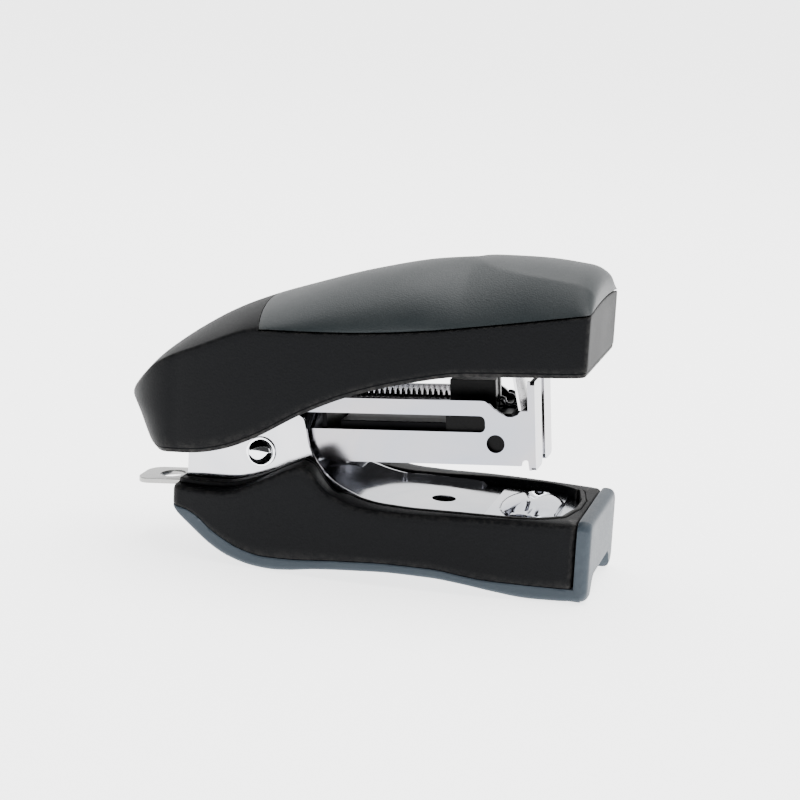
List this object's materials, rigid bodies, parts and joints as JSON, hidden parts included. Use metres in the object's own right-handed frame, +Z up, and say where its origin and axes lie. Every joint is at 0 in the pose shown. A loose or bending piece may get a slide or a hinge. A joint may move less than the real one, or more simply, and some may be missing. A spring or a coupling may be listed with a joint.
{
  "type": "stapler",
  "caption": "Compact hand stapler: moulded base with rubber sole, steel frame and anvil, hinged magazine with sprung pusher, and a rounded top cover with soft grip that drives the blade.",
  "frame": {"origin": "middle of the bounding box's footprint, on the surface the stapler stands on", "axes": "+X towards the nose, where staples come out; +Y across the stapler; +Z up"},
  "size_m": [0.0888, 0.0356, 0.0581],
  "materials": {
    "black_plastic": "fine grained matte black",
    "grey_rubber": "satin blue-grey",
    "grey_grip": "matte dark grey, fine grain",
    "chromed_steel": "bright plated",
    "magazine_steel": "bright plated, lightly drawn",
    "rivet_steel": "polished",
    "hardened_steel": "tumbled bright",
    "spring_steel": "drawn wire",
    "rail_steel": "mill bright",
    "pusher_plastic": "smooth black"
  },
  "bodies": {
    "base": {"base_housing": "black_plastic", "base_pad": "grey_rubber", "base_frame": "chromed_steel", "anvil_plate": "chromed_steel", "remover_tongue": "hardened_steel", "tongue_rivet": "rivet_steel", "pivot_pin": "rivet_steel", "pivot_washer_near": "rivet_steel", "pivot_washer_far": "rivet_steel", "lift_spring": "spring_steel"},
    "magazine": {"magazine_channel": "magazine_steel", "staple_rail": "rail_steel", "rear_stop": "magazine_steel", "guide_rod": "spring_steel", "pusher_spring": "spring_steel"},
    "pusher": {"pusher": "pusher_plastic"},
    "handle": {"cover_shell": "black_plastic", "cover_insert": "grey_grip", "handle_frame": "rail_steel", "driver_blade": "hardened_steel", "driver_rivet": "rivet_steel", "handle_spring": "spring_steel"}
  },
  "joints": [
    {"name": "magazine_hinge", "type": "hinge", "parent": "base", "child": "magazine", "pos_m": [-0.01735, 0, 0.0197], "axis": [0, 1, 0], "range_deg": [0, 8], "stiffness_Nm_per_rad": 0.5, "springref_deg": -5.73, "deforming": ["lift_spring"]},
    {"name": "handle_hinge", "type": "hinge", "parent": "magazine", "child": "handle", "pos_m": [-0.01735, 0, 0.0197], "axis": [0, 1, 0], "range_deg": [-16, 11], "stiffness_Nm_per_rad": 1, "springref_deg": -0.46, "deforming": ["handle_spring"]},
    {"name": "pusher_slide", "type": "slide", "parent": "magazine", "child": "pusher", "axis": [0.9962, 0, 0.0872], "range_m": [-0.0105, 0], "stiffness_N_per_m": 60, "springref_m": 0.012, "deforming": ["pusher_spring"]}
  ]
}
